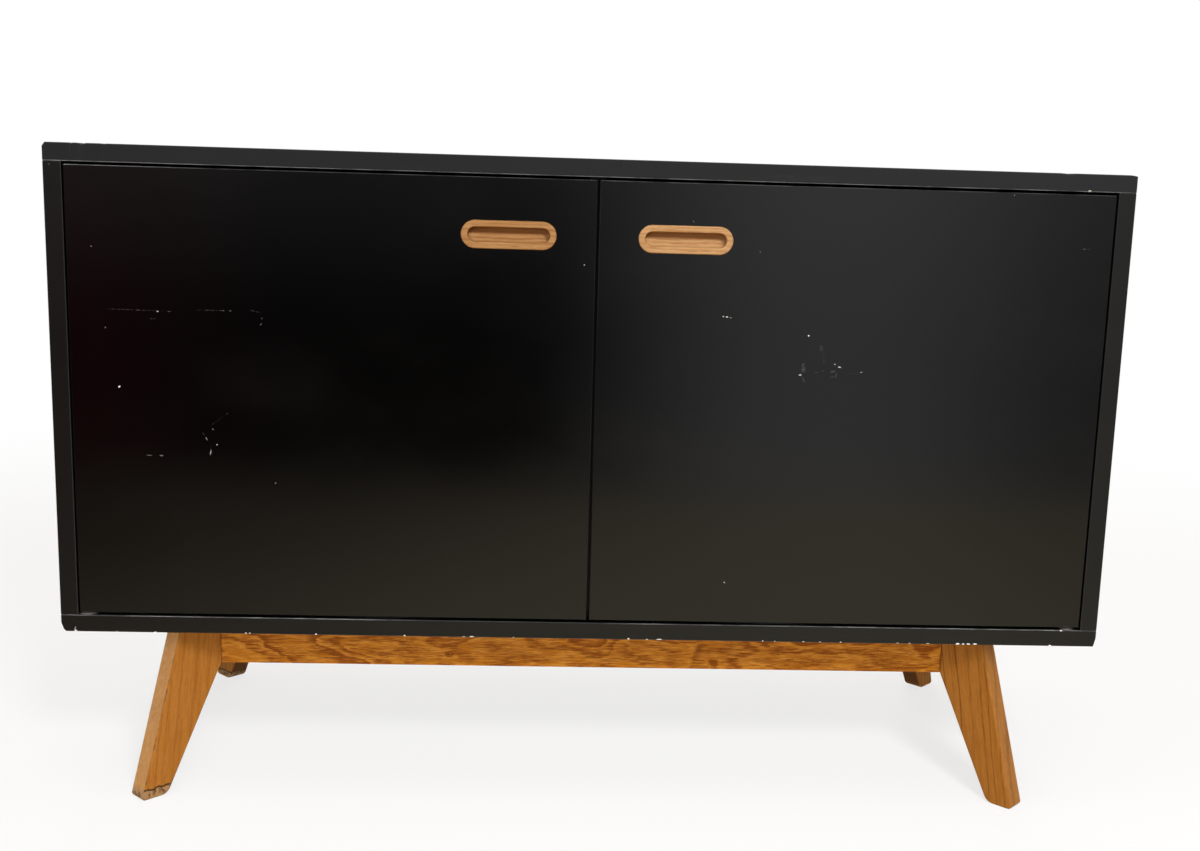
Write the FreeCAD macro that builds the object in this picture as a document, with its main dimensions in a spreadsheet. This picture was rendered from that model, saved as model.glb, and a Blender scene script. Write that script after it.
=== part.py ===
import FreeCAD, Part
import math
import os
import Sketcher
from FreeCAD import Placement, Rotation, Vector

# Two-door cabinet on a splayed oak base.
# Frame: millimetres, origin on the floor under the middle, +X to the right, +Y to the back, +Z up.

SIZES = {
    # Black lacquered carcass
    "cabinet_width": 1100,
    "cabinet_depth": 405,
    "body_height": 502,
    "leg_height": 187,
    "panel_thickness": 18,
    "edge_easing": 0.7,
    "bumper_thickness": 1.5,
    "bumper_radius": 2.5,
    "bumper_play": 0.2,
    # Back panel and its groove
    "back_thickness": 3,
    "back_setback": 10,
    "groove_depth": 6,
    "groove_play": 0.1,
    "groove_end_play": 0.5,
    "cable_hole_radius": 30,
    "cable_hole_height": 120,
    # Shelves and their pins
    "shelf_thickness": 16,
    "shelf_play": 1,
    "shelf_front_setback": 62,
    "shelf_back_play": 2,
    "pin_radius": 2.5,
    "pin_hole_depth": 8,
    "pin_reach": 9,
    "pin_flat": 1,
    "pin_pitch": 64,
    "pin_inset": 40,
    # Panel joints
    "dowel_radius": 4,
    "dowel_in_panel": 12,
    "dowel_in_end": 18,
    "dowel_inset": 60,
    "cam_radius": 7.5,
    "cam_depth": 13,
    "cam_distance": 34,
    "cam_inset": 110,
    "cam_bolt_radius": 3,
    "cam_bolt_in_panel": 11,
    "cam_bolt_gap": 2,
    "cam_slot_width": 1.6,
    "cam_slot_length": 9,
    "cam_slot_depth": 2,
    "fit_play": 0.05,
    # Doors and finger pulls
    "door_thickness": 18,
    "side_gap": 2,
    "top_gap": 3,
    "bottom_gap": 3,
    "centre_gap": 3,
    "handle_length": 96.5,
    "handle_height": 28.5,
    "handle_depth": 14,
    "handle_proud": 1.5,
    "handle_rim": 6.8,
    "handle_recess_depth": 11.5,
    "handle_inset": 40,
    "handle_drop": 43,
    "handle_edge_round": 1.4,
    "handle_floor_round": 3,
    "handle_play": 0.15,
    # Catches
    "magnet_radius": 2.5,
    "magnet_length": 8,
    "strike_radius": 3,
    "strike_thickness": 1.2,
    "catch_offset": 5.5,
    "catch_inset": 60,
    "bumper_inset": 24,
    # Hinges
    "hinge_inset": 80,
    "hinge_reach": 28,
    "cup_radius": 17.5,
    "cup_depth": 13,
    "cup_edge": 5,
    "cup_floor": 0.6,
    "cup_bottom_play": 0.1,
    "cup_slot_length": 31,
    "cup_slot_width": 13,
    "flange_radius": 19.5,
    "flange_thickness": 1.2,
    "ear_spacing": 45,
    "ear_offset": 9.5,
    "ear_radius": 5.5,
    "hinge_pin_radius": 1.25,
    "hinge_pin_length": 25,
    "eye_radius": 3,
    "arm_thickness": 3.5,
    "arm_width": 12,
    "arm_neck_angle": 40,
    "arm_neck_length": 30,
    "arm_crank_depth": 42,
    "arm_length": 86,
    "arm_bend_round": 1.2,
    "plate_height": 7.25,
    "plate_width": 14,
    "plate_front": 46,
    "wing_span": 46,
    "wing_width": 12,
    "wing_thickness": 2,
    "plate_screw_depth": 55,
    "plate_screw_spacing": 32,
    "arm_screw_depth": 76,
    "hinge_screw_radius": 1.75,
    "hinge_screw_head": 3.4,
    "hinge_screw_head_height": 1.6,
    "hinge_screw_grip": 10,
    "arm_screw_grip": 6,
    # Oak base frame and legs
    "rail_front_setback": 64,
    "rail_side_setback": 133,
    "rail_height": 54,
    "rail_thickness": 20,
    "leg_thickness": 24,
    "leg_top_width": 48,
    "leg_foot_reach": 100,
    "leg_foot_width": 31,
    "leg_edge_round": 2,
    "leg_inner_foot_round": 12,
    "leg_outer_foot_round": 4,
    "leg_kink_round": 10,
    "block_side": 60,
    "block_nose": 6,
    "block_height": 46,
    "leg_bolt_radius": 3,
    "leg_bolt_in_leg": 34,
    "leg_bolt_upper": 14,
    "leg_bolt_lower": 34,
    "leg_bolt_tail": 9,
    "nut_radius": 5.6,
    "nut_height": 5,
    "washer_radius": 6.5,
    "washer_thickness": 1.2,
    "frame_screw_radius": 2.25,
    "frame_screw_head": 4.5,
    "frame_screw_head_height": 3,
    "frame_screw_in_panel": 13,
    "frame_screw_along": 43,
    "frame_screw_across": 8,
}

doc = FreeCAD.newDocument("cabinet")
sheet = doc.addObject("Spreadsheet::Sheet", "Sizes")
for row, (alias, number) in enumerate(SIZES.items(), start=1):
    sheet.set(f"A{row}", alias)
    sheet.set(f"B{row}", str(number))
    sheet.setAlias(f"B{row}", alias)
doc.recompute()


class Size:
    """A length that knows its number and the expression that gives it."""

    def __init__(self, number, text):
        self.number = number
        self.text = text

    def __add__(self, other):
        other = as_size(other)
        return Size(self.number + other.number, f"({self.text} + {other.text})")

    def __sub__(self, other):
        other = as_size(other)
        return Size(self.number - other.number, f"({self.text} - {other.text})")

    def __mul__(self, other):
        other = as_size(other)
        return Size(self.number * other.number, f"({self.text} * {other.text})")

    def __truediv__(self, other):
        other = as_size(other)
        return Size(self.number / other.number, f"({self.text} / {other.text})")

    def __radd__(self, other):
        return as_size(other) + self

    def __rsub__(self, other):
        return as_size(other) - self

    def __rmul__(self, other):
        return as_size(other) * self

    def __neg__(self):
        return as_size(0) - self


def as_size(value):
    return value if isinstance(value, Size) else Size(float(value), repr(float(value)))


def size(alias):
    return Size(float(sheet.get(alias)), f"Sizes.{alias}")


def sine(angle):
    return Size(math.sin(math.radians(angle.number)), f"sin({angle.text})")


def cosine(angle):
    return Size(math.cos(math.radians(angle.number)), f"cos({angle.text})")


def bind(obj, prop, value):
    obj.setExpression(prop, as_size(value).text)


def place(obj, x, y, z, turn=None):
    """Put an object at a point given by sizes, turned as asked."""
    obj.Placement = Placement(Vector(0, 0, 0), turn or Rotation())
    for axis, value in zip("xyz", (x, y, z)):
        bind(obj, f"Placement.Base.{axis}", value)
    return obj


# Tools shared by the pieces

ALONG_X = Rotation(Vector(0, 1, 0), 90)
ALONG_Y = Rotation(Vector(1, 0, 0), -90)
UPRIGHT = Rotation()
DIAGONAL = math.sqrt(0.5)
NEAR = 0.01
node_shapes = {}


def node(name, obj):
    """Give the finished piece its name."""
    obj.Label = name
    node_shapes[name] = obj
    return obj


def box(name, spans, corner):
    solid = doc.addObject("Part::Box", name)
    for prop, value in zip(("Length", "Width", "Height"), spans):
        bind(solid, prop, value)
    return place(solid, *corner)


def rod(name, radius, length, start, turn=UPRIGHT):
    solid = doc.addObject("Part::Cylinder", name)
    bind(solid, "Radius", radius)
    bind(solid, "Height", length)
    return place(solid, *start, turn)


def group(name, solids):
    """Several separate solids kept as one object."""
    compound = doc.addObject("Part::Compound", name)
    compound.Links = solids
    return compound


def fused(name, solids):
    whole = doc.addObject("Part::MultiFuse", name)
    whole.Shapes = solids
    return whole


def cut(name, base, tools):
    result = doc.addObject("Part::Cut", name)
    result.Base = base
    result.Tool = tools[0] if len(tools) == 1 else group(f"{name}_tools", tools)
    return result


def mirrored(name, source, normal):
    twin = doc.addObject("Part::Mirroring", name)
    twin.Source = source
    twin.Base = Vector(0, 0, 0)
    twin.Normal = normal
    return twin


def origin_plane(body, role):
    return next(item for item in body.Origin.OriginFeatures if item.Role == role)


def new_sketch(body, name, role):
    sketch = body.newObject("Sketcher::SketchObject", name)
    sketch.AttachmentSupport = [(origin_plane(body, role), "")]
    sketch.MapMode = "FlatFace"
    return sketch


def pin_point(sketch, edge, end, u, v):
    """Tie one end of an edge to its distances from the sketch's origin."""
    for kind, value in (("DistanceX", u), ("DistanceY", v)):
        value = as_size(value)
        index = sketch.addConstraint(Sketcher.Constraint(kind, -1, 1, edge, end, value.number))
        sketch.setExpression(f"Constraints[{index}]", value.text)


def outline(sketch, corners):
    """A closed outline of straight edges through corners given by sizes."""
    points = [Vector(as_size(u).number, as_size(v).number, 0) for u, v in corners]
    for first, second in zip(points, points[1:] + points[:1]):
        sketch.addGeometry(Part.LineSegment(first, second), False)
    for index in range(len(points)):
        follower = (index + 1) % len(points)
        sketch.addConstraint(Sketcher.Constraint("Coincident", index, 2, follower, 1))
    for index, (u, v) in enumerate(corners):
        pin_point(sketch, index, 1, u, v)


def stadium(sketch, length, height, centre_u, centre_v):
    """A slot outline with half-round ends, lying along the sketch's first axis."""
    radius = height / 2
    reach = length / 2 - radius
    left, right = centre_u - reach, centre_u + reach
    low, high = centre_v - radius, centre_v + radius

    def point(u, v):
        return Vector(u.number, v.number, 0)

    def half_round(centre, start):
        circle = Part.Circle(point(centre, centre_v), Vector(0, 0, 1), radius.number)
        return Part.ArcOfCircle(circle, start, start + math.pi)

    sketch.addGeometry(Part.LineSegment(point(left, low), point(right, low)), False)
    sketch.addGeometry(half_round(right, -math.pi / 2), False)
    sketch.addGeometry(Part.LineSegment(point(right, high), point(left, high)), False)
    sketch.addGeometry(half_round(left, math.pi / 2), False)
    for first, first_end, second, second_end in ((0, 2, 1, 1), (1, 2, 2, 1), (2, 2, 3, 1), (3, 2, 0, 1)):
        sketch.addConstraint(Sketcher.Constraint("Coincident", first, first_end, second, second_end))
    pin_point(sketch, 1, 3, right, centre_v)
    pin_point(sketch, 3, 3, left, centre_v)
    pin_point(sketch, 0, 1, left, low)
    pin_point(sketch, 2, 1, right, high)


def pad(body, name, sketch, length, midplane=False, reverse=False):
    feature = body.newObject("PartDesign::Pad", name)
    feature.Profile = sketch
    bind(feature, "Length", length)
    feature.Midplane = midplane
    feature.Reversed = reverse
    doc.recompute()
    return feature


def pocket(body, name, sketch, depth, reverse=False):
    before = body.Shape.Volume
    feature = body.newObject("PartDesign::Pocket", name)
    feature.Profile = sketch
    bind(feature, "Length", depth)
    feature.Reversed = reverse
    doc.recompute()
    if body.Shape.Volume > before - NEAR:
        raise RuntimeError(f"{name} removed nothing")
    return feature


def edges_where(feature, test):
    """Names of a feature's edges whose middle and direction pass a test."""
    names = []
    for index, edge in enumerate(feature.Shape.Edges, start=1):
        ends = edge.ParameterRange
        middle = edge.valueAt((ends[0] + ends[1]) / 2)
        if test(edge, middle):
            names.append(f"Edge{index}")
    return names


def rounded(body, name, feature, edge_names, radius):
    fillet = body.newObject("PartDesign::Fillet", name)
    fillet.Base = (feature, edge_names)
    bind(fillet, "Radius", radius)
    doc.recompute()
    return fillet


def eased_board(name, spans, corner):
    """A board with its edges broken by a small flat."""
    body = doc.addObject("PartDesign::Body", name)
    block = body.newObject("PartDesign::AdditiveBox", f"{name}_block")
    for prop, value in zip(("Length", "Width", "Height"), spans):
        bind(block, prop, value)
    doc.recompute()
    easing = body.newObject("PartDesign::Chamfer", f"{name}_easing")
    easing.Base = (block, ["Face1"])
    easing.UseAllEdges = True
    bind(easing, "Size", size("edge_easing"))
    doc.recompute()
    return place(body, *corner)


# Places that follow from the sizes

board = size("panel_thickness")
fit = size("fit_play")
half_width = size("cabinet_width") / 2
front = -size("cabinet_depth") / 2
back = size("cabinet_depth") / 2
underside = size("leg_height")
floor_level = underside + board
ceiling_level = underside + size("body_height") - board
inner_height = ceiling_level - floor_level
inner_half = half_width - board
groove_width = size("back_thickness") + size("groove_play") * 2
groove_front = back - size("back_setback") - groove_width
door_back = front + size("door_thickness")
divider_front = door_back + size("bumper_thickness") + size("bumper_play")
divider_depth = groove_front - divider_front
side_middle = half_width - board / 2
joint_columns = {"left": -side_middle, "centre": as_size(0), "right": side_middle}


# Panel joints: dowels, cam bolts and cam locks where standing panels meet the top and bottom panels

JOINT_ENDS = {"low": floor_level, "high": ceiling_level}
cam_starts = {"left": -inner_half - size("cam_depth"), "centre": -board / 2, "right": inner_half}
slot_starts = {"left": -inner_half - size("cam_slot_depth"), "centre": -board / 2, "right": inner_half}


def joint_rods(name, radius, in_panel, in_end, inset, column, end):
    """Upright rods across one joint, from the lying panel into the end of the standing one."""
    level = JOINT_ENDS[end]
    start = level - in_panel if end == "low" else level - in_end
    rods = []
    for number, y in enumerate((front + size(inset), back - size(inset))):
        rods.append(rod(f"{name}_{column}_{end}_{number}", radius, in_panel + in_end,
                        (joint_columns[column], y, start)))
    return rods


def dowel_rods(name, play, column, end):
    return joint_rods(name, size("dowel_radius") + play, size("dowel_in_panel"), size("dowel_in_end"),
                      "dowel_inset", column, end)


def cam_bolt_rods(name, play, column, end):
    in_end = size("cam_distance") - size("cam_bolt_gap")
    return joint_rods(name, size("cam_bolt_radius") + play, size("cam_bolt_in_panel"), in_end,
                      "cam_inset", column, end)


def cam_rods(name, play, column, end):
    """Round locks lying across the standing panel, let in from its inner face."""
    reach = size("cam_distance") if end == "low" else -size("cam_distance")
    rods = []
    for number, y in enumerate((front + size("cam_inset"), back - size("cam_inset"))):
        start = (cam_starts[column], y, JOINT_ENDS[end] + reach)
        rods.append(rod(f"{name}_{column}_{end}_{number}", size("cam_radius") - play, size("cam_depth"),
                        start, ALONG_X))
    return rods


def cam_slots(column, end):
    """Screwdriver slots in the faces of the cam locks."""
    reach = size("cam_distance") if end == "low" else -size("cam_distance")
    wide, long = size("cam_slot_width"), size("cam_slot_length")
    slots = []
    for number, y in enumerate((front + size("cam_inset"), back - size("cam_inset"))):
        corner = (slot_starts[column], y - long / 2, JOINT_ENDS[end] + reach - wide / 2)
        slots.append(box(f"cam_slot_{column}_{end}_{number}", (size("cam_slot_depth"), long, wide), corner))
    return slots


dowels, cam_bolts, cam_locks = [], [], []
joint_holes = {}
cam_holes = {}
for column in joint_columns:
    cam_holes[column] = []
    for end in JOINT_ENDS:
        shank_holes = cam_bolt_rods("bolt_hole", fit, column, end)
        joint_holes[column, end] = dowel_rods("dowel_hole", fit, column, end) + shank_holes
        cam_holes[column] += cam_rods("cam_hole", 0, column, end)
        dowels += dowel_rods("dowel", 0, column, end)
        cam_bolts += cam_bolt_rods("bolt", 0, column, end)
        blanks = cam_rods("cam_blank", fit, column, end)
        slots = cam_slots(column, end)
        for number, (blank, slot, hole) in enumerate(zip(blanks, slots, shank_holes)):
            cam_locks.append(cut(f"cam_{column}_{end}_{number}", blank, [slot, hole]))
node("carcass_dowels", group("dowel_set", dowels))
node("cam_bolts", group("cam_bolt_set", cam_bolts))
node("cam_locks", group("cam_lock_set", cam_locks))


# Shelf pins and the rows of holes they can stand in

shelf_front = front + size("shelf_front_setback")
shelf_back = groove_front - size("shelf_back_play")
pin_rows = (shelf_front + size("pin_inset"), shelf_back - size("pin_inset"))
pin_level = floor_level + inner_height / 2
hole_depth, pin_reach = size("pin_hole_depth"), size("pin_reach")
# Each face that takes pins: where its holes start, where its pins start and where they stand free
pin_faces = {
    "left": (-inner_half - hole_depth, -inner_half - hole_depth, -inner_half),
    "divider_left": (-board / 2, -board / 2 - pin_reach, -board / 2 - pin_reach),
    "divider_right": (board / 2 - hole_depth, board / 2 - hole_depth, board / 2),
    "right": (inner_half, inner_half - pin_reach, inner_half - pin_reach),
}
pin_holes = {}
shelf_pins = []
for face, (hole_start, pin_start, free_start) in pin_faces.items():
    pin_holes[face] = []
    for row, y in enumerate(pin_rows):
        for step in (-1, 0, 1):
            z = pin_level + size("pin_pitch") * step
            pin_holes[face].append(rod(f"pin_hole_{face}_{row}_{step + 1}", size("pin_radius") + fit,
                                       hole_depth, (hole_start, y, z), ALONG_X))
        peg = rod(f"peg_{face}_{row}", size("pin_radius"), hole_depth + pin_reach,
                  (pin_start, y, pin_level), ALONG_X)
        thick = size("pin_radius") * 2
        flat = box(f"peg_flat_{face}_{row}", (pin_reach, thick, thick),
                   (free_start, y - size("pin_radius"), pin_level + size("pin_flat")))
        shelf_pins.append(cut(f"shelf_pin_{face}_{row}", peg, [flat]))
node("shelf_pins", group("shelf_pin_set", shelf_pins))


# Hinges: a cup in the door, a pin across the cup, a cranked arm that reaches into it and a mounting plate

door_low = floor_level + size("bottom_gap")
door_high = ceiling_level - size("top_gap")
hinge_levels = {"lower": door_low + size("hinge_inset"), "upper": door_high - size("hinge_inset")}
hinge_face = -inner_half
pivot_x = hinge_face + size("hinge_reach")
pivot_y = front + size("door_thickness") / 2
cup_x = hinge_face + size("side_gap") + size("cup_edge") + size("cup_radius")
ear_x = cup_x + size("ear_offset")
plate_top = hinge_face + size("plate_height")
arm_back = front + size("arm_length")
plate_screw_y = front + size("plate_screw_depth")
arm_screw_y = front + size("arm_screw_depth")
screw_radius = size("hinge_screw_radius")
screw_head = size("hinge_screw_head")
head_height = size("hinge_screw_head_height")
screw_grip = size("hinge_screw_grip")


def ear_levels(z):
    return (z - size("ear_spacing") / 2, z + size("ear_spacing") / 2)


def plate_screw_levels(z):
    return (z - size("plate_screw_spacing") / 2, z + size("plate_screw_spacing") / 2)


def hinge_pin_rod(name, play, z):
    length = size("hinge_pin_length")
    return rod(name, size("hinge_pin_radius") + play, length, (pivot_x, pivot_y, z - length / 2))


def hinge_cup(end, z):
    """Die-cast cup with a slot for the arm, a flange on the back of the door and two screw ears."""
    name = f"cup_{end}"
    depth = size("cup_depth") - size("cup_bottom_play")
    flange, ear = size("flange_thickness"), size("ear_radius")
    barrel = rod(f"{name}_barrel", size("cup_radius") - fit, depth, (cup_x, door_back - depth, z), ALONG_Y)
    disc = rod(f"{name}_disc", size("flange_radius"), flange, (cup_x, door_back, z), ALONG_Y)
    bar = box(f"{name}_bar", (ear * 2, flange, size("ear_spacing")),
              (ear_x - ear, door_back, z - size("ear_spacing") / 2))
    ears = [rod(f"{name}_ear_{number}", ear, flange, (ear_x, door_back, level), ALONG_Y)
            for number, level in enumerate(ear_levels(z))]
    slot_floor = door_back - depth + size("cup_floor")
    slot_long, slot_wide = size("cup_slot_length"), size("cup_slot_width")
    slot = box(f"{name}_slot", (slot_long, door_back + flange - slot_floor, slot_wide),
               (cup_x - slot_long / 2, slot_floor, z - slot_wide / 2))
    pin_hole = hinge_pin_rod(f"{name}_pin_hole", fit, z)
    screw_holes = [rod(f"{name}_screw_hole_{number}", screw_radius + fit, flange,
                       (ear_x, door_back, level), ALONG_Y)
                   for number, level in enumerate(ear_levels(z))]
    whole = fused(f"{name}_whole", [barrel, disc, bar] + ears)
    return cut(name, whole, [slot, pin_hole] + screw_holes)


def hinge_arm(end, z):
    """Cranked arm: a neck out of the cup, round the end of the open door and back along the plate."""
    name = f"arm_{end}"
    body = doc.addObject("PartDesign::Body", f"{name}_body")
    half = size("arm_thickness") / 2
    angle = size("arm_neck_angle")
    lean, rise = sine(angle), cosine(angle)
    half_turn = lean / (1 + rise)
    elbow_x = pivot_x + size("arm_neck_length") * lean
    elbow_y = pivot_y + size("arm_neck_length") * rise
    crank_y = front + size("arm_crank_depth")
    strip_x = plate_top + half
    corners = [
        (pivot_x + half * rise, pivot_y - half * lean),
        (elbow_x + half, elbow_y - half * half_turn),
        (elbow_x + half, crank_y + half),
        (strip_x + half, crank_y + half),
        (strip_x + half, arm_back),
        (strip_x - half, arm_back),
        (strip_x - half, crank_y - half),
        (elbow_x - half, crank_y - half),
        (elbow_x - half, elbow_y + half * half_turn),
        (pivot_x - half * rise, pivot_y + half * lean),
    ]
    sketch = new_sketch(body, f"{name}_outline", "XY_Plane")
    outline(sketch, corners)
    strip = pad(body, f"{name}_strip", sketch, size("arm_width"), midplane=True)
    bends = [corners[index] for index in (2, 3, 6, 7)]

    def at_bend(edge, middle):
        upright = abs(edge.tangentAt(edge.FirstParameter).z) > 1 - NEAR
        return upright and any(math.hypot(middle.x - u.number, middle.y - v.number) < NEAR for u, v in bends)

    rounded(body, f"{name}_bends", strip, edges_where(strip, at_bend), size("arm_bend_round"))
    place(body, as_size(0), as_size(0), z)
    wide = size("arm_width")
    eye = rod(f"{name}_eye", size("eye_radius"), wide, (pivot_x, pivot_y, z - wide / 2))
    pin_hole = hinge_pin_rod(f"{name}_pin_hole", fit, z)
    screw_hole = rod(f"{name}_screw_hole", screw_radius + fit, size("arm_thickness"),
                     (plate_top, arm_screw_y, z), ALONG_X)
    return cut(name, fused(f"{name}_whole", [body, eye]), [pin_hole, screw_hole])


def hinge_plate(end, z):
    """Mounting plate on the side panel: a block under the arm and two wings for its screws."""
    name = f"plate_{end}"
    wide, span, wing = size("plate_width"), size("wing_span"), size("wing_width")
    plate_front = front + size("plate_front")
    block = box(f"{name}_block", (size("plate_height"), arm_back - plate_front, wide),
                (hinge_face, plate_front, z - wide / 2))
    wings = box(f"{name}_wings", (size("wing_thickness"), wing, span),
                (hinge_face, plate_screw_y - wing / 2, z - span / 2))
    holes = [rod(f"{name}_screw_hole_{number}", screw_radius + fit, size("wing_thickness"),
                 (hinge_face, plate_screw_y, level), ALONG_X)
             for number, level in enumerate(plate_screw_levels(z))]
    holes.append(rod(f"{name}_arm_screw_hole", screw_radius + fit, size("arm_screw_grip"),
                     (plate_top - size("arm_screw_grip"), arm_screw_y, z), ALONG_X))
    return cut(name, fused(f"{name}_whole", [block, wings]), holes)


def screw(name, shank, start, head_start, turn):
    """A pan-head screw: a shank and a flat round head."""
    body = rod(f"{name}_shank", screw_radius, shank, start, turn)
    head = rod(f"{name}_head", screw_head, head_height, head_start, turn)
    return fused(name, [body, head])


def hinge_screws(end, z):
    """Screws of one hinge: two through the cup's ears, two through the plate's wings, one through the arm."""
    flange, wing = size("flange_thickness"), size("wing_thickness")
    cup, plate = [], []
    for number, level in enumerate(ear_levels(z)):
        cup.append(screw(f"cup_screw_{end}_{number}", screw_grip + flange,
                         (ear_x, door_back - screw_grip, level), (ear_x, door_back + flange, level), ALONG_Y))
    for number, level in enumerate(plate_screw_levels(z)):
        plate.append(screw(f"plate_screw_{end}_{number}", screw_grip + wing,
                           (hinge_face - screw_grip, plate_screw_y, level),
                           (hinge_face + wing, plate_screw_y, level), ALONG_X))
    arm_grip = size("arm_screw_grip")
    arm_top = plate_top + size("arm_thickness")
    arm = screw(f"arm_screw_{end}", arm_grip + size("arm_thickness"), (plate_top - arm_grip, arm_screw_y, z),
                (arm_top, arm_screw_y, z), ALONG_X)
    return cup, plate, arm


def both_sides(name_left, name_right, left):
    """Name a left-hand piece and its mirror image on the right."""
    node(name_left, left)
    node(name_right, mirrored(f"{left.Name}_twin", left, Vector(1, 0, 0)))


cup_screws, plate_screws, arm_screws, hinge_pins = [], [], [], []
for end, z in hinge_levels.items():
    both_sides(f"hinge_cup_left_{end}", f"hinge_cup_right_{end}", hinge_cup(end, z))
    both_sides(f"hinge_arm_left_{end}", f"hinge_arm_right_{end}", hinge_arm(end, z))
    both_sides(f"hinge_plate_left_{end}", f"hinge_plate_right_{end}", hinge_plate(end, z))
    cup, plate, arm = hinge_screws(end, z)
    cup_screws += cup
    plate_screws += plate
    arm_screws.append(arm)
    hinge_pins.append(hinge_pin_rod(f"hinge_pin_{end}", 0, z))
both_sides("cup_screws_left", "cup_screws_right", group("cup_screw_set", cup_screws))
both_sides("plate_screws_left", "plate_screws_right", group("plate_screw_set", plate_screws))
both_sides("arm_screws_left", "arm_screws_right", group("arm_screw_set", arm_screws))
both_sides("hinge_pins_left", "hinge_pins_right", group("hinge_pin_set", hinge_pins))


# Doors with their finger pulls, strike discs and bores for the hinges

door_left_edge = -inner_half + size("side_gap")
door_right_edge = -size("centre_gap") / 2
handle_x = door_right_edge - size("handle_inset") - size("handle_length") / 2
handle_z = door_high - size("handle_drop") - size("handle_height") / 2
catch_z = ceiling_level - size("catch_inset")


def handle():
    """Oak finger pull: a stadium block with a rounded rim round a hollow for the fingers."""
    body = doc.addObject("PartDesign::Body", "handle")
    thick = size("handle_depth") + size("handle_proud")
    middle = as_size(0)
    outer = new_sketch(body, "handle_outer", "XZ_Plane")
    stadium(outer, size("handle_length"), size("handle_height"), middle, middle)
    block = pad(body, "handle_block", outer, thick)
    inner = new_sketch(body, "handle_inner", "XZ_Plane")
    bind(inner, "AttachmentOffset.Base.z", thick)
    rim = size("handle_rim") * 2
    stadium(inner, size("handle_length") - rim, size("handle_height") - rim, middle, middle)
    hollow = pocket(body, "handle_hollow", inner, size("handle_recess_depth"))
    hollow_floor = thick - size("handle_recess_depth")
    floor_edges = edges_where(hollow, lambda edge, at: abs(at.y + hollow_floor.number) < NEAR)
    soft_floor = rounded(body, "handle_floor", hollow, floor_edges, size("handle_floor_round"))
    rim_edges = edges_where(soft_floor, lambda edge, at: abs(at.y + thick.number) < NEAR)
    rounded(body, "handle_rim_round", soft_floor, rim_edges, size("handle_edge_round"))
    return place(body, handle_x, front + size("handle_depth"), handle_z)


def handle_pocket():
    """The stadium pocket in the door that takes the finger pull."""
    play = size("handle_play")
    radius = size("handle_height") / 2 + play
    reach = (size("handle_length") - size("handle_height")) / 2
    depth = size("handle_depth")
    middle = box("pocket_middle", (reach * 2, depth, radius * 2),
                 (handle_x - reach, front, handle_z - radius))
    ends = [rod(f"pocket_end_{number}", radius, depth, (x, front, handle_z), ALONG_Y)
            for number, x in enumerate((handle_x - reach, handle_x + reach))]
    return fused("handle_pocket", [middle] + ends)


def strike_rod(name, play):
    return rod(name, size("strike_radius") + play, size("strike_thickness"),
               (-size("catch_offset"), door_back - size("strike_thickness"), catch_z), ALONG_Y)


door_board = eased_board("door_board", (door_right_edge - door_left_edge, size("door_thickness"),
                                        door_high - door_low), (door_left_edge, front, door_low))
door_bores = [handle_pocket(), strike_rod("strike_pocket", fit)]
for end, z in hinge_levels.items():
    door_bores.append(rod(f"cup_bore_{end}", size("cup_radius"), size("cup_depth"),
                          (cup_x, door_back - size("cup_depth"), z), ALONG_Y))
    for number, level in enumerate(ear_levels(z)):
        door_bores.append(rod(f"cup_screw_bore_{end}_{number}", screw_radius + fit, screw_grip,
                              (ear_x, door_back - screw_grip, level), ALONG_Y))
both_sides("door_left", "door_right", cut("door", door_board, door_bores))
both_sides("handle_left", "handle_right", handle())
both_sides("strike_disc_left", "strike_disc_right", strike_rod("strike_disc", 0))


# Carcass: bottom and top panels, sides, centre divider, back panel and shelves

def lying_panel(name, level, end, groove_level, extra_holes):
    panel = eased_board(f"{name}_board", (size("cabinet_width"), size("cabinet_depth"), board),
                        (-half_width, front, level))
    reach = inner_half + size("groove_depth")
    groove = box(f"{name}_groove", (reach * 2, groove_width, size("groove_depth")),
                 (-reach, groove_front, groove_level))
    holes = [hole for column in joint_columns for hole in joint_holes[column, end]]
    return node(name, cut(name, panel, [groove] + holes + extra_holes))


def standing_holes(column):
    return joint_holes[column, "low"] + joint_holes[column, "high"] + cam_holes[column]


side_board = eased_board("side_board", (board, size("cabinet_depth"), inner_height),
                         (-half_width, front, floor_level))
side_groove = box("side_groove", (size("groove_depth"), groove_width, inner_height),
                  (-inner_half - size("groove_depth"), groove_front, floor_level))
side_bores = [side_groove] + standing_holes("left") + pin_holes["left"]
for end, z in hinge_levels.items():
    for number, level in enumerate(plate_screw_levels(z)):
        side_bores.append(rod(f"plate_screw_bore_{end}_{number}", screw_radius + fit, screw_grip,
                              (hinge_face - screw_grip, plate_screw_y, level), ALONG_X))
both_sides("side_panel_left", "side_panel_right", cut("side_panel", side_board, side_bores))


def catch_rods(name, play, length, start):
    return [rod(f"{name}_{side}", size("magnet_radius") + play, length, (x, start, catch_z), ALONG_Y)
            for side, x in (("left", -size("catch_offset")), ("right", size("catch_offset")))]


divider_board = eased_board("divider_board", (board, divider_depth, inner_height),
                            (-board / 2, divider_front, floor_level))
magnet_holes = catch_rods("magnet_hole", fit, size("magnet_length"), divider_front)
node("centre_divider", cut("divider", divider_board, standing_holes("centre") + pin_holes["divider_left"]
                           + pin_holes["divider_right"] + magnet_holes))
node("catch_magnets", group("magnet_set", catch_rods(
    "magnet", 0, size("magnet_length") + size("bumper_thickness"), divider_front - size("bumper_thickness"))))

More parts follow.
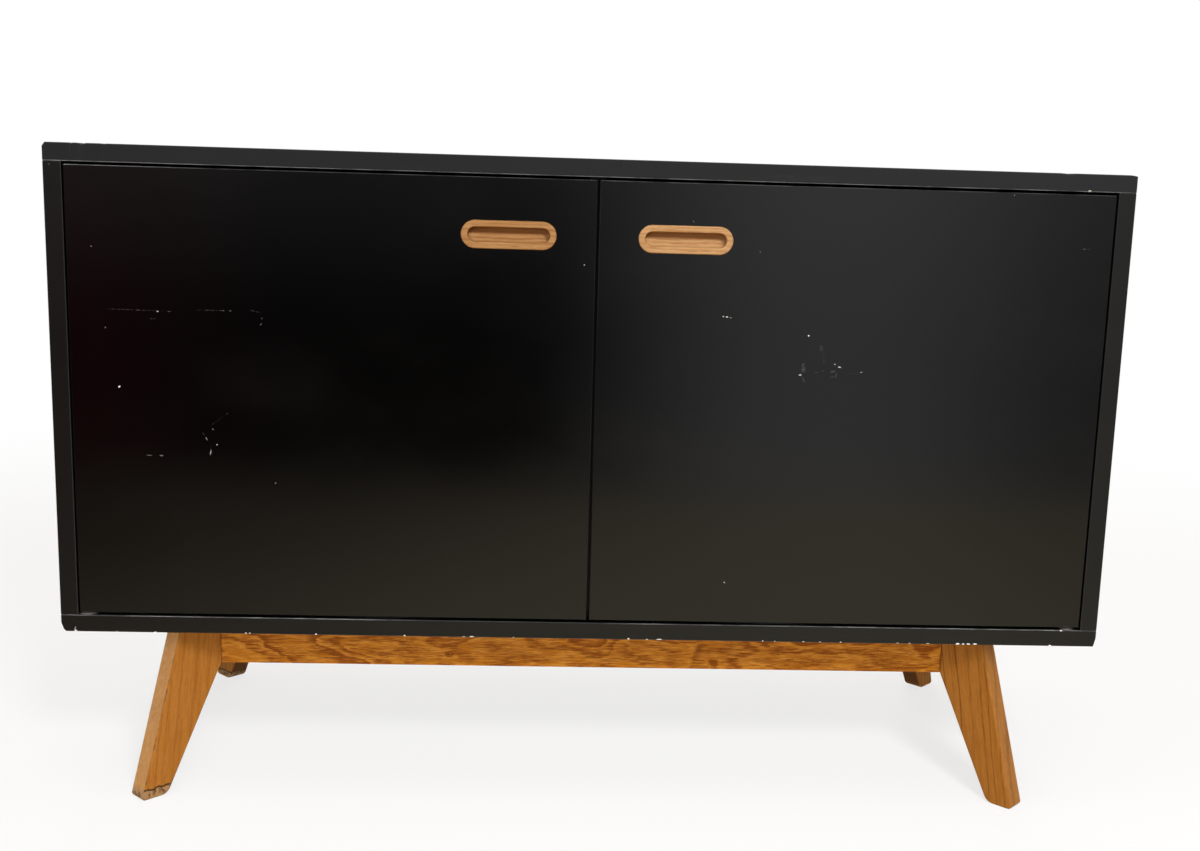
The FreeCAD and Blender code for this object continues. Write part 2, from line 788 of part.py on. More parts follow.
bumpers = []
for end, z in (("low", door_low + size("bumper_inset")), ("high", door_high - size("bumper_inset"))):
    for side, x in (("left", -size("catch_offset")), ("right", size("catch_offset"))):
        bumpers.append(rod(f"bumper_{end}_{side}", size("bumper_radius"), size("bumper_thickness"),
                           (x, divider_front - size("bumper_thickness"), z), ALONG_Y))
node("door_bumpers", group("bumper_set", bumpers))

back_reach = inner_half + size("groove_depth") - size("groove_end_play")
back_board = box("back_board", (back_reach * 2, size("back_thickness"),
                                inner_height + size("groove_depth") * 2 - size("groove_end_play")),
                 (-back_reach, groove_front + size("groove_play"), floor_level - size("groove_depth")))
cable_holes = [rod(f"cable_hole_{number}", size("cable_hole_radius"), size("back_thickness"),
                   (x, groove_front + size("groove_play"), floor_level + size("cable_hole_height")), ALONG_Y)
               for number, x in enumerate((-inner_half / 2, inner_half / 2))]
node("back_panel", cut("back", back_board, cable_holes))

shelf_play = size("shelf_play")
both_sides("shelf_left", "shelf_right", eased_board(
    "shelf", (inner_half - board / 2 - shelf_play * 2, shelf_back - shelf_front, size("shelf_thickness")),
    (-inner_half + shelf_play, shelf_front, pin_level + size("pin_flat"))))


# Oak base: four rails with clipped mitres, corner blocks, and plank legs set on the diagonals

rail = size("rail_thickness")
rail_level = underside - size("rail_height")
rail_x = half_width - size("rail_side_setback")
rail_y = back - size("rail_front_setback")
clip = size("leg_thickness") * DIAGONAL
block_x, block_y = rail_x - rail, rail_y - rail
mitre_length = (rail - clip / 2) / DIAGONAL
block_diagonal = (size("block_side") + size("block_nose")) * DIAGONAL
CORNERS = {"front_left": (-1, -1), "front_right": (1, -1), "back_left": (-1, 1), "back_right": (1, 1)}


def outward(corner):
    """Direction from the middle of the base out along one corner's diagonal."""
    side, end = CORNERS[corner]
    return Vector(side * DIAGONAL, end * DIAGONAL, 0)


def along_diagonal(corner, distance):
    """A point on a corner's diagonal, measured outwards from the clipped face that the leg butts."""
    side, end = CORNERS[corner]
    run = distance * DIAGONAL
    return ((rail_x - clip / 2 + run) * side, (rail_y - clip / 2 + run) * end)


def inward(corner):
    """The turn that lays an upright piece along a corner's diagonal, towards the middle."""
    return Rotation(Vector(0, 0, 1), outward(corner) * -1)


def bolt_places(corner, start):
    """Where a corner's two bolts pass a distance along its diagonal."""
    x, y = along_diagonal(corner, start)
    return {end: (x, y, underside - size(f"leg_bolt_{end}")) for end in ("upper", "lower")}


def diagonal_rods(name, radius, length, corner, start):
    """Two rods, one above the other, that run inwards along a corner's diagonal."""
    return [rod(f"{name}_{corner}_{end}", radius, length, point, inward(corner))
            for end, point in bolt_places(corner, start).items()]


def nut_blanks(corner, start):
    """Two hexagons, one above the other, square to a corner's diagonal."""
    blanks = []
    for end, point in bolt_places(corner, start).items():
        hexagon = doc.addObject("Part::Prism", f"nut_blank_{corner}_{end}")
        hexagon.Polygon = 6
        bind(hexagon, "Circumradius", size("nut_radius"))
        bind(hexagon, "Height", size("nut_height"))
        blanks.append(place(hexagon, *point, inward(corner)))
    return blanks


def leg(corner):
    """A tapered plank that leans outwards along its corner's diagonal."""
    body = doc.addObject("PartDesign::Body", f"{corner}_leg_body")
    tall, reach = size("leg_height"), size("leg_foot_reach")
    heel = reach - size("leg_foot_width")
    corners = [(0, 0), (0, -size("rail_height")), (heel, -tall), (reach, -tall), (size("leg_top_width"), 0)]
    sketch = new_sketch(body, f"{corner}_leg_outline", "XZ_Plane")
    outline(sketch, corners)
    step = pad(body, f"{corner}_plank", sketch, size("leg_thickness"), midplane=True)
    rounds = (("kink", 0, -size("rail_height"), "leg_kink_round"),
              ("heel", heel, -tall, "leg_inner_foot_round"),
              ("toe", reach, -tall, "leg_outer_foot_round"))
    for name, u, v, radius in rounds:
        u, v = as_size(u).number, as_size(v).number

        def at_corner(edge, middle, u=u, v=v):
            return math.hypot(middle.x - u, middle.z - v) < NEAR

        step = rounded(body, f"{corner}_{name}", step, edges_where(step, at_corner), size(radius))
    half = size("leg_thickness").number / 2

    def long_edge(edge, middle):
        return abs(abs(middle.y) - half) < NEAR and middle.z < -NEAR

    rounded(body, f"{corner}_edges", step, edges_where(step, long_edge), size("leg_edge_round"))
    x, y = along_diagonal(corner, as_size(0))
    return place(body, x, y, underside, Rotation(Vector(1, 0, 0), outward(corner)))


def corner_block(corner):
    """A block glued inside a corner of the rails, with its inner corner cut off square to the diagonal."""
    body = doc.addObject("PartDesign::Body", f"{corner}_block_body")
    long, nose = size("block_side"), size("block_nose")
    sketch = new_sketch(body, f"{corner}_block_outline", "XY_Plane")
    outline(sketch, [(0, 0), (long, 0), (long, nose), (nose, long), (0, long)])
    pad(body, f"{corner}_block_pad", sketch, size("block_height"))
    side, end = CORNERS[corner]
    turn = math.degrees(math.atan2(-end, -side)) - 45
    return place(body, block_x * side, block_y * end, underside - size("block_height"),
                 Rotation(Vector(0, 0, 1), turn))


def rail_body(name, corners):
    body = doc.addObject("PartDesign::Body", f"{name}_body")
    sketch = new_sketch(body, f"{name}_outline", "XY_Plane")
    outline(sketch, corners)
    pad(body, f"{name}_pad", sketch, size("rail_height"))
    return place(body, as_size(0), as_size(0), rail_level)


def frame_screw_places(corner):
    """Two places on a corner block for the screws into the bottom panel."""
    side, end = CORNERS[corner]
    along, across = size("frame_screw_along"), size("frame_screw_across")
    return [((block_x - first) * side, (block_y - second) * end)
            for first, second in ((along, across), (across, along))]


bolt_holes, leg_bolts, leg_nuts, leg_washers, blocks = {}, [], [], [], []
panel_holes, frame_screws = [], []
in_leg = size("leg_bolt_in_leg")
block_face = -(mitre_length + block_diagonal)
block_low = underside - size("block_height")
washer, nut = size("washer_thickness"), size("nut_height")
screw_long = size("block_height") + size("frame_screw_in_panel")
head_tall = size("frame_screw_head_height")
for corner in CORNERS:
    reach = in_leg - block_face
    bolt_holes[corner] = diagonal_rods("leg_bolt_hole", size("leg_bolt_radius") + fit, reach + washer + nut,
                                       corner, in_leg)
    leg_bolts += diagonal_rods("leg_bolt", size("leg_bolt_radius"), reach + size("leg_bolt_tail"),
                               corner, in_leg)
    discs = diagonal_rods("washer", size("washer_radius"), washer, corner, block_face)
    nuts = nut_blanks(corner, block_face - washer)
    for number, hole in enumerate(bolt_holes[corner]):
        leg_washers.append(cut(f"leg_washer_{corner}_{number}", discs[number], [hole]))
        leg_nuts.append(cut(f"leg_nut_{corner}_{number}", nuts[number], [hole]))
    block_holes = []
    for number, (x, y) in enumerate(frame_screw_places(corner)):
        name = f"frame_screw_{corner}_{number}"
        block_holes.append(rod(f"{name}_hole", size("frame_screw_radius") + fit, screw_long,
                               (x, y, block_low)))
        shank = rod(f"{name}_shank", size("frame_screw_radius"), screw_long, (x, y, block_low))
        head = rod(f"{name}_head", size("frame_screw_head"), head_tall, (x, y, block_low - head_tall))
        frame_screws.append(fused(name, [shank, head]))
    panel_holes += block_holes
    blocks.append(cut(f"block_{corner}", corner_block(corner), bolt_holes[corner] + block_holes))
    node(f"leg_{corner}", cut(f"leg_{corner}_bored", leg(corner), bolt_holes[corner]))
node("leg_bolts", group("leg_bolt_set", leg_bolts))
node("leg_nuts", group("leg_nut_set", leg_nuts))
node("leg_washers", group("leg_washer_set", leg_washers))
node("frame_screws", group("frame_screw_set", frame_screws))
node("corner_blocks", group("corner_block_set", blocks))

front_corners = [(-rail_x + clip, -rail_y), (rail_x - clip, -rail_y), (rail_x - clip / 2, -rail_y + clip / 2),
                 (block_x, -block_y), (-block_x, -block_y), (-rail_x + clip / 2, -rail_y + clip / 2)]
front_holes = bolt_holes["front_left"] + bolt_holes["front_right"]
front_rail = node("front_rail", cut("front_rail", rail_body("front_rail", front_corners), front_holes))
node("back_rail", mirrored("back_rail", front_rail, Vector(0, 1, 0)))
side_corners = [(-rail_x, -rail_y + clip), (-rail_x + clip / 2, -rail_y + clip / 2), (-block_x, -block_y),
                (-block_x, block_y), (-rail_x + clip / 2, rail_y - clip / 2), (-rail_x, rail_y - clip)]
side_holes = bolt_holes["front_left"] + bolt_holes["back_left"]
both_sides("side_rail_left", "side_rail_right",
           cut("side_rail", rail_body("side_rail", side_corners), side_holes))

lying_panel("bottom_panel", underside, "low", floor_level - size("groove_depth"), panel_holes)
lying_panel("top_panel", ceiling_level, "high", ceiling_level, [])


# Check every object, then write each piece to its own file

doc.recompute()
for obj in doc.Objects:
    if "Invalid" in obj.State or "Error" in obj.State:
        raise RuntimeError(f"{obj.Label} failed: {obj.State}")
os.makedirs("parts", exist_ok=True)
for name, obj in node_shapes.items():
    if obj.Shape.isNull() or not obj.Shape.isValid() or not obj.Shape.Solids:
        raise RuntimeError(f"{name} has no valid solid")
for name, obj in node_shapes.items():
    obj.Shape.exportStep(f"parts/{name}.step")
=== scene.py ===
import bmesh
import bpy
import math
from mathutils import Matrix, Vector


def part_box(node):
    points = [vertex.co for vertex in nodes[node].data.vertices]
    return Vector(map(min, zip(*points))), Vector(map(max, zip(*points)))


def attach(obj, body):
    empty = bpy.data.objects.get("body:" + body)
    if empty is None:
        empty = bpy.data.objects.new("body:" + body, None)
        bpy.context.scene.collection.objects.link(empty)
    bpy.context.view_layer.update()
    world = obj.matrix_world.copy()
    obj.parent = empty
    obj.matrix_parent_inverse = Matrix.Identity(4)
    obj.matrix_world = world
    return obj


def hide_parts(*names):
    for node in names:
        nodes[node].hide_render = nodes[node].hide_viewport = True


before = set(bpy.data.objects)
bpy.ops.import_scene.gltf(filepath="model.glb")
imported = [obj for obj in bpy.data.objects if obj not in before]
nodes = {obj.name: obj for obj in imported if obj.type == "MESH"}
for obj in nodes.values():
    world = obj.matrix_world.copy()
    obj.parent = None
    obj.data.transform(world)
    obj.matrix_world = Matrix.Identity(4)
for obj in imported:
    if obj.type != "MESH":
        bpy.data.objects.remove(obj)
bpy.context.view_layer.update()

# Carcass panels: fibreboard sheets sprayed with satin black lacquer and joined at the corners.
# Years of use have rubbed the front edges along the door opening down to the grey primer,
# knocked white chips out of the lower front edge and dented the corners.

MM = 0.001
HAIR = 0.01 * MM
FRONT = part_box("top_panel")[0].y
TOP_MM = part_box("top_panel")[1].z / MM
INSIDE_FLOOR_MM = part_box("bottom_panel")[1].z / MM
UNDERSIDE_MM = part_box("bottom_panel")[0].z / MM
TOP_ROUGHNESS = 0.58
CARCASS_ROUGHNESS = 0.46
LACQUER_BLACK = (0.0010, 0.0009, 0.0009, 1)
LACQUER_DUSTY = (0.0024, 0.0022, 0.0021, 1)
PRIMER_GREY = (0.34, 0.35, 0.36, 1)
PRIMER_COOL = (0.48, 0.54, 0.62, 1)
CHIP_WHITE = (0.72, 0.70, 0.66, 1)
CHIP_TEAR = 1.6 * MM
CHIP_TEARS_PER_METRE = 700.0
RUBBED_PATCH = (40 * MM, 40 * MM, 40 * MM)
LONG_SCRATCH = 8
SCRATCH_SKIP = (2.6 * MM, 1, 2.6 * MM)
SMEAR = (220 * MM, 220 * MM, 120 * MM)
WIPE_STROKE = (20 * MM, 1, 1.2 * MM)
WIPED_GLOSS = 0.3
SPRAY_RIPPLES_PER_METRE = 900.0


class Finish:
    """A finish being mixed: short ways to add its shader nodes and join them."""

    def __init__(self, name):
        self.material = bpy.data.materials.new(name)
        self.material.use_nodes = True
        self.tree = self.material.node_tree
        self.surface = self.tree.nodes["Principled BSDF"]
        coordinates = self.node("TexCoord")
        self.place = coordinates.outputs["Object"]
        self.facing = coordinates.outputs["Normal"]

    def node(self, kind, inputs=None, **settings):
        made = self.tree.nodes.new("ShaderNode" + kind)
        for setting, value in settings.items():
            setattr(made, setting, value)
        for socket, value in (inputs or {}).items():
            self.feed(made.inputs[socket], value)
        return made

    def feed(self, socket, value):
        if isinstance(value, bpy.types.NodeSocket):
            self.tree.links.new(value, socket)
        else:
            socket.default_value = value

    def set(self, **inputs):
        for socket, value in inputs.items():
            self.feed(self.surface.inputs[socket.replace("_", " ")], value)

    def paint(self, colour):
        self.colour = colour
        self.set(Base_Color=colour)

    def math(self, operation, first, second=0.0):
        return self.node("Math", {0: first, 1: second}, operation=operation).outputs[0]

    def times(self, *values):
        product = values[0]
        for value in values[1:]:
            product = self.math("MULTIPLY", product, value)
        return product

    def greatest(self, values):
        top = values[0]
        for value in values[1:]:
            top = self.math("MAXIMUM", top, value)
        return top

    def fade(self, value, start, end, low=0.0, high=1.0):
        """Low below start, high past end, and a smooth way between them."""
        inputs = {"Value": value, "From Min": start, "From Max": end, "To Min": low, "To Max": high}
        return self.node("MapRange", inputs, interpolation_type="SMOOTHSTEP").outputs[0]

    def blend(self, share, first, second):
        made = self.node("Mix", data_type="RGBA")
        for socket, value in ((0, share), (6, first), (7, second)):
            self.feed(made.inputs[socket], value)
        return made.outputs[2]

    def stretched(self, scale, turn=(0, 0, 0), centre=(0, 0, 0), source=None):
        """Places measured from a centre along turned axes, in lengths of scale."""
        inputs = {"Vector": source or self.place, "Location": centre, "Rotation": turn, "Scale": scale}
        return self.node("Mapping", inputs, vector_type="TEXTURE").outputs[0]

    def noise(self, where, scale=1.0, detail=2.0, rough=0.5, output="Fac"):
        inputs = {"Vector": where, "Scale": scale, "Detail": detail, "Roughness": rough}
        return self.node("TexNoise", inputs).outputs[output]

    def parts(self, vector):
        return self.node("SeparateXYZ", {0: vector}).outputs

    def towards(self, direction):
        """How far the surface faces a direction: one when square to it."""
        inputs = {0: self.facing, 1: direction}
        return self.node("VectorMath", inputs, operation="DOT_PRODUCT").outputs["Value"]

    def length(self, vector):
        return self.node("VectorMath", {0: vector}, operation="LENGTH").outputs["Value"]

    def shifted(self, where, amount, scale):
        """Places pushed about at random by up to half an amount, to tear an outline."""
        push = self.noise(where, scale, output="Color")
        push = self.node("VectorMath", {0: push, 1: (0.5, 0.5, 0.5)}, operation="SUBTRACT").outputs[0]
        push = self.node("VectorMath", {0: push, "Scale": amount}, operation="SCALE").outputs[0]
        return self.node("VectorMath", {0: where, 1: push}, operation="ADD").outputs[0]

    def bump(self, height, strength, distance):
        inputs = {"Height": height, "Strength": strength, "Distance": distance}
        self.set(Normal=self.node("Bump", inputs).outputs[0])


def dress(finish, *names):
    """Give the named pieces a finish."""
    for name in names:
        nodes[name].data.materials.clear()
        nodes[name].data.materials.append(finish.material)


def spot(finish, where, x, z, length, height, lean=0.0, depth=3.0, back=0.0):
    """A lens-shaped mark by the front face, in millimetres: its middle, length and height,
    its lean in degrees, its depth and how far back it lies."""
    centre = (x * MM, FRONT + back * MM, z * MM)
    size = (length / 2 * MM, depth * MM, height / 2 * MM)
    local = finish.stretched(size, (0, math.radians(-lean), 0), centre, where)
    return finish.fade(finish.length(local), 1.0, 0.5)


def rub_edge(finish, rubbed, bareness):
    """How bare the front edge is that faces up (rubbed 1) or down (rubbed -1), in ragged patches.
    Bareness gives how much at some places across, from left to right."""
    edge = finish.fade(finish.towards((0, -math.sqrt(0.5), rubbed * math.sqrt(0.5))), 0.85, 0.95)
    patches = finish.noise(finish.stretched(RUBBED_PATCH), detail=5.0, rough=0.7)
    patchy = finish.fade(patches, 0.36, 0.62, low=0.2)
    across = finish.parts(finish.place)[0]
    bare = bareness[0][1]
    for (start, before), (end, after) in zip(bareness, bareness[1:]):
        change = finish.fade(across, start * MM, end * MM, high=after - before)
        bare = finish.math("ADD", change, bare)
    return finish.times(edge, patchy, bare)


def scratch(finish, scratches):
    """Pale scratches, by height above the underside. The long ones skip, as a dragged corner does."""
    skips = finish.fade(finish.noise(finish.stretched(SCRATCH_SKIP)), 0.48, 0.62, low=0.12)
    marks = []
    for x, z, length, height, lean, shade in scratches:
        mark = finish.times(spot(finish, finish.place, x, UNDERSIDE_MM + z, length, height, lean), shade)
        marks.append(finish.times(mark, skips) if length > LONG_SCRATCH else mark)
    return finish.greatest(marks)


def black_lacquer(name, roughness, rubbed=0, bareness=(), chips=(), scratches=(), wiped=(), haze=0.0,
                  primer=PRIMER_GREY):
    """Black lacquer, a little hazy where it rounds an edge. One front edge may be rubbed to the primer,
    and chips, scratches and wiped patches lie on the front face."""
    finish = Finish(name)
    smears = finish.noise(finish.stretched(SMEAR), detail=4.0, rough=0.6)
    colour = finish.blend(finish.fade(smears, 0.45, 0.85), LACQUER_BLACK, LACQUER_DUSTY)
    squareness = finish.greatest([finish.math("ABSOLUTE", part) for part in finish.parts(finish.facing)])
    # The haze lifts every face a little towards the primer, a painted sheen where it is given; rounded edges
    # get a little more as wear
    wear_and_sheen = finish.fade(squareness, 0.93, 0.80, low=haze, high=haze + 0.03)
    if rubbed:
        wear_and_sheen = finish.greatest([wear_and_sheen, rub_edge(finish, rubbed, bareness)])
    colour = finish.blend(wear_and_sheen, colour, primer)
    if scratches:
        colour = finish.blend(scratch(finish, scratches), colour, CHIP_WHITE)
    if chips:
        torn = finish.shifted(finish.place, CHIP_TEAR, CHIP_TEARS_PER_METRE)
        chipped = finish.greatest([spot(finish, torn, *chip) for chip in chips])
        colour = finish.blend(chipped, colour, CHIP_WHITE)
    sheen = finish.fade(smears, 0.3, 0.8, low=roughness - 0.03, high=roughness + 0.05)
    if wiped:
        patch = finish.greatest([spot(finish, finish.place, *mark) for mark in wiped])
        strokes = finish.fade(finish.noise(finish.stretched(WIPE_STROKE), detail=3.0), 0.35, 0.6)
        sheen = finish.math("SUBTRACT", sheen, finish.times(patch, strokes, WIPED_GLOSS))
    finish.paint(colour)
    finish.set(Specular_IOR_Level=0.5, Roughness=sheen)
    finish.bump(finish.noise(finish.place, SPRAY_RIPPLES_PER_METRE), strength=0.05, distance=0.4 * MM)
    return finish


def worn_copy(node_name, corners, dents=()):
    """A panel as it is now: corners knocked off flat, and dents pressed into its upper front edge.
    A corner has the way it points and how far the cut reaches along it, back and in height, in
    millimetres. A dent has its middle across, its length and its depth."""
    low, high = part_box(node_name)
    panel = bpy.data.objects.new(f"{node_name}_worn", nodes[node_name].data.copy())
    bpy.context.scene.collection.objects.link(panel)
    bpy.ops.object.select_all(action="DESELECT")
    panel.select_set(True)
    bpy.context.view_layer.objects.active = panel
    bpy.ops.object.mode_set(mode="EDIT")
    bpy.ops.mesh.select_mode(type="VERT")
    bpy.ops.mesh.select_all(action="SELECT")
    bpy.ops.mesh.remove_doubles(threshold=HAIR)
    for points, reach in corners:
        corner = Vector([high[i] if points[i] > 0 else low[i] for i in range(3)])
        outward = Vector([points[i] / reach[i] for i in range(3)])
        start = corner - Vector((points[0] * reach[0] * MM, 0, 0))
        bpy.ops.mesh.select_all(action="SELECT")
        bpy.ops.mesh.bisect(plane_co=start, plane_no=outward, use_fill=True, clear_outer=True)
    for x, length, depth in dents:
        for step in (-length / 2, 0, length / 2):
            bpy.ops.mesh.select_all(action="SELECT")
            bpy.ops.mesh.bisect(plane_co=((x + step) * MM, 0, 0), plane_no=(1, 0, 0))
        bpy.ops.mesh.select_all(action="DESELECT")
        mesh = bmesh.from_edit_mesh(panel.data)
        for vert in mesh.verts:
            at_edge = vert.co.y < low.y + MM and vert.co.z > high.z - MM
            vert.select = at_edge and abs(vert.co.x - x * MM) < HAIR
        bmesh.update_edit_mesh(panel.data)
        bpy.ops.transform.translate(value=(0, depth * MM, -depth * MM))
    bpy.ops.object.mode_set(mode="OBJECT")
    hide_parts(node_name)
    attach(panel, "carcass")


# Chips on the lower front edge: middle from the cabinet's middle, length and height in millimetres
LOWER_EDGE_CHIPS = (
    (-535, 4, 2.5), (-493, 2, 1.2), (-453, 3, 1.6), (-359, 2.5, 2.0), (-355, 2, 2.4), (-286, 2, 2.4),
    (-193, 2.5, 2.0), (-131, 3, 1.2), (-122, 6, 1.6), (-78, 2, 1.2), (44, 3, 2.4), (64, 3, 1.4), (77, 8, 1.4),
    (188, 2, 2.2), (201, 2, 1.0), (232, 3, 0.9), (250, 3, 1.0), (272, 2.5, 1.6), (334, 4, 1.0), (347, 3, 0.9),
    (367, 4, 0.9), (399, 5, 3.2), (405.5, 3.5, 2.6), (411, 4.5, 3.0), (418, 5, 2.8), (500, 3, 1.4),
)
CHIPS_UP = 0.8
bottom_chips = [(x, UNDERSIDE_MM + CHIPS_UP, length, height) for x, length, height in LOWER_EDGE_CHIPS]
# One chip lies on the upper edge, and the heels of the hanging doors have rubbed the board bare below them
bottom_chips.append((511, INSIDE_FLOOR_MM - 0.5, 3, 2))
bottom_chips.append((-523, INSIDE_FLOOR_MM, 22, 2, 0, 6, 7))
bottom_chips.append((519, INSIDE_FLOOR_MM, 18, 2, 0, 6, 7))
BOTTOM_SCRATCHES = [(-535.5, 4, 5, 1.4, 62, 0.25)]
BOTTOM_KNOCKS = (
    ((-1, -1, -1), (3.6, 14, 10.5)), ((-1, -1, -1), (5.3, 8, 5.3)),
    ((1, -1, -1), (2.6, 12, 10.5)), ((1, -1, -1), (3.2, 6, 3.2)),
)
BOTTOM_BARENESS = ((-540, 0.25), (-400, 0.40), (-240, 0.40), (-170, 0.05), (0, 0.05), (60, 0.22), (400, 0.42))
bottom_lacquer = black_lacquer("lacquer_bottom", CARCASS_ROUGHNESS, rubbed=1, bareness=BOTTOM_BARENESS,
                               chips=bottom_chips, scratches=BOTTOM_SCRATCHES)
dress(bottom_lacquer, "bottom_panel")
worn_copy("bottom_panel", BOTTOM_KNOCKS)

# A painted sheen: every face of the top is lifted a little towards the cool primer
TOP_PAINTED_SHEEN = 0.012
TOP_CHIPS = [(501, TOP_MM - 17.2, 4, 1.8)]
TOP_WIPED = [(200, TOP_MM - 13, 80, 7), (232, TOP_MM - 14, 18, 9)]
TOP_BARENESS = ((-545, 1.0), (-430, 0.6))
TOP_KNOCKS = (((-1, -1, 1), (3.2, 10, 4.2)), ((1, -1, 1), (9, 12, 1.3)))
TOP_DENTS = ((-521.5, 3, 0.9), (-511, 9, 1.1), (-490, 6, 0.5), (478, 14, 0.6))
top_lacquer = black_lacquer("lacquer_top", TOP_ROUGHNESS, rubbed=-1, bareness=TOP_BARENESS, chips=TOP_CHIPS,
                            wiped=TOP_WIPED, haze=TOP_PAINTED_SHEEN, primer=PRIMER_COOL)
dress(top_lacquer, "top_panel")
worn_copy("top_panel", TOP_KNOCKS, TOP_DENTS)

SIDE_SCRATCHES = [(-543.5, TOP_MM - UNDERSIDE_MM - 21.5, 2.2, 1.2, -20, 0.12)]
side_lacquer = black_lacquer("lacquer_sides", CARCASS_ROUGHNESS, scratches=SIDE_SCRATCHES)
dress(side_lacquer, "side_panel_left", "side_panel_right", "centre_divider", "shelf_left", "shelf_right")

# Back panel: a thin sheet of hardboard that slides in grooves round the carcass.
# Its inner face is painted black, its outer face is bare, fibrous brown board,
# and a round hole behind each compartment lets cables through.

HARDBOARD_BROWN = (0.16, 0.085, 0.040, 1)
HARDBOARD_DARK = (0.085, 0.042, 0.018, 1)
PAINT_MATT = (0.008, 0.008, 0.008, 1)
BOARD_FIBRE = (4 * MM, 4 * MM, 4 * MM)
BOARD_CLOUDS_PER_METRE = 9.0


def hardboard():
    finish = Finish("hardboard")
    fibres = finish.noise(finish.stretched(BOARD_FIBRE), detail=6.0, rough=0.7)
    clouds = finish.noise(finish.place, BOARD_CLOUDS_PER_METRE, detail=3.0)
    brown = finish.blend(finish.fade(fibres, 0.35, 0.65), HARDBOARD_DARK, HARDBOARD_BROWN)
    brown = finish.blend(finish.fade(clouds, 0.3, 0.8, high=0.5), brown, HARDBOARD_DARK)
    outer = finish.fade(finish.towards((0, 1, 0)), -0.5, 0.0)
    finish.paint(finish.blend(outer, PAINT_MATT, brown))
    finish.set(Roughness=finish.fade(fibres, 0.2, 0.8, low=0.55, high=0.85))
    finish.bump(fibres, strength=0.25, distance=0.3 * MM)
    return finish


dress(hardboard(), "back_panel")

# Joints of the carcass: fluted beech dowels, and zinc-plated bolts drawn tight by nickel-plated
# cam locks. The shelves lie loose on small zinc-plated pins with a flat on top.

BEECH_PALE = (0.55, 0.36, 0.20, 1)
BEECH_DARK = (0.42, 0.25, 0.13, 1)
BEECH_FLECK = (1.2 * MM, 1.2 * MM, 6 * MM)
NICKEL_BRIGHT = (0.72, 0.70, 0.66, 1)
NICKEL_DULL = (0.55, 0.53, 0.50, 1)
NICKEL_ROUGHNESS = 0.24
ZINC_BRIGHT = (0.66, 0.67, 0.68, 1)
ZINC_DULL = (0.46, 0.47, 0.49, 1)
ZINC_ROUGHNESS = 0.36
BRUSH_STROKE = (0.4 * MM, 6 * MM, 6 * MM)
DULL_PATCHES_PER_METRE = 60.0


def beech():
    finish = Finish("beech")
    fleck = finish.noise(finish.stretched(BEECH_FLECK), detail=3.0)
    finish.paint(finish.blend(finish.fade(fleck, 0.4, 0.7), BEECH_PALE, BEECH_DARK))
    finish.set(Roughness=finish.fade(fleck, 0.3, 0.7, low=0.5, high=0.65))
    finish.bump(fleck, strength=0.15, distance=0.2 * MM)
    return finish


def plated_metal(name, bright, dull, roughness):
    """Plated steel: a soft brushed sheen with fingered, duller patches."""
    finish = Finish(name)
    patches = finish.noise(finish.place, DULL_PATCHES_PER_METRE, detail=4.0, rough=0.6)
    brushing = finish.noise(finish.stretched(BRUSH_STROKE))
    both = finish.math("ADD", patches, brushing)
    finish.paint(finish.blend(finish.fade(patches, 0.35, 0.75), bright, dull))
    finish.set(Metallic=1.0, Roughness=finish.fade(both, 0.7, 1.3, low=roughness, high=roughness + 0.16))
    finish.bump(brushing, strength=0.05, distance=0.1 * MM)
    return finish


beech_finish = beech()
nickel = plated_metal("nickel_plate", NICKEL_BRIGHT, NICKEL_DULL, NICKEL_ROUGHNESS)
zinc = plated_metal("zinc_steel", ZINC_BRIGHT, ZINC_DULL, ZINC_ROUGHNESS)
dress(beech_finish, "carcass_dowels")
dress(nickel, "cam_locks")
dress(zinc, "cam_bolts", "shelf_pins")

# Doors: two lacquered boards hung flush in the front of the carcass, glossier than its edges.
# Knocks and drags have left fine pale scratches and specks on both.

DOOR_ROUGHNESS = 0.15
DOOR_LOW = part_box("door_left")[0].z / MM - UNDERSIDE_MM

# Marks: middle across, height above the carcass's underside, length, height, lean in degrees, paleness
LEFT_DOOR_MARKS = (
    (-467, 338.5, 74, 0.8, -0.8, 0.07), (-458, 338.3, 14, 0.9, -1, 0.10), (-441.5, 337.5, 2.0, 1.5, 0, 0.7),
    (-430, 337.8, 5, 0.8, 0, 0.10), (-389, 340, 38, 0.8, 0, 0.06), (-378, 340, 9, 1.0, 0, 0.16),
    (-369, 340, 3, 1.0, 0, 0.16), (-344, 340, 13, 0.8, -10, 0.14), (-337.5, 333, 1.4, 1.8, 0, 0.10),
    (-338.5, 327, 4, 1.0, 55, 0.10), (-446, 330, 9, 1.0, 4, 0.10), (-494, 320, 2, 1.6, 0, 0.18),
    (-482, 260, 3.0, 2.2, 35, 1.0), (-384, 227, 24, 0.7, 38, 0.05), (-374, 234.5, 2, 0.9, 35, 0.14),
    (-388.5, 218, 1.4, 1.4, 0, 0.22), (-395.5, 208, 4.4, 1.2, -55, 0.26), (-398.5, 213, 4, 0.7, -60, 0.07),
    (-391.5, 194, 7, 1.5, 84, 0.30), (-391, 201, 10, 0.7, 88, 0.05), (-385, 202, 1.8, 1.8, 0, 0.40),
    (-454, 189.5, 7.5, 1.2, -3, 0.12), (-441.5, 189.5, 5, 1.2, 0, 0.20), (-340, 246, 72, 0.6, -9, 0.018),
    (-326, 163, 1.6, 1.6, 0, 0.35), (-505, 401, 1.8, 1.8, 0, 0.15), (-12.7, 395.8, 1.8, 1.8, 0, 0.45),
    (-521, DOOR_LOW, 20, 1.4, 0, 0.35),
)
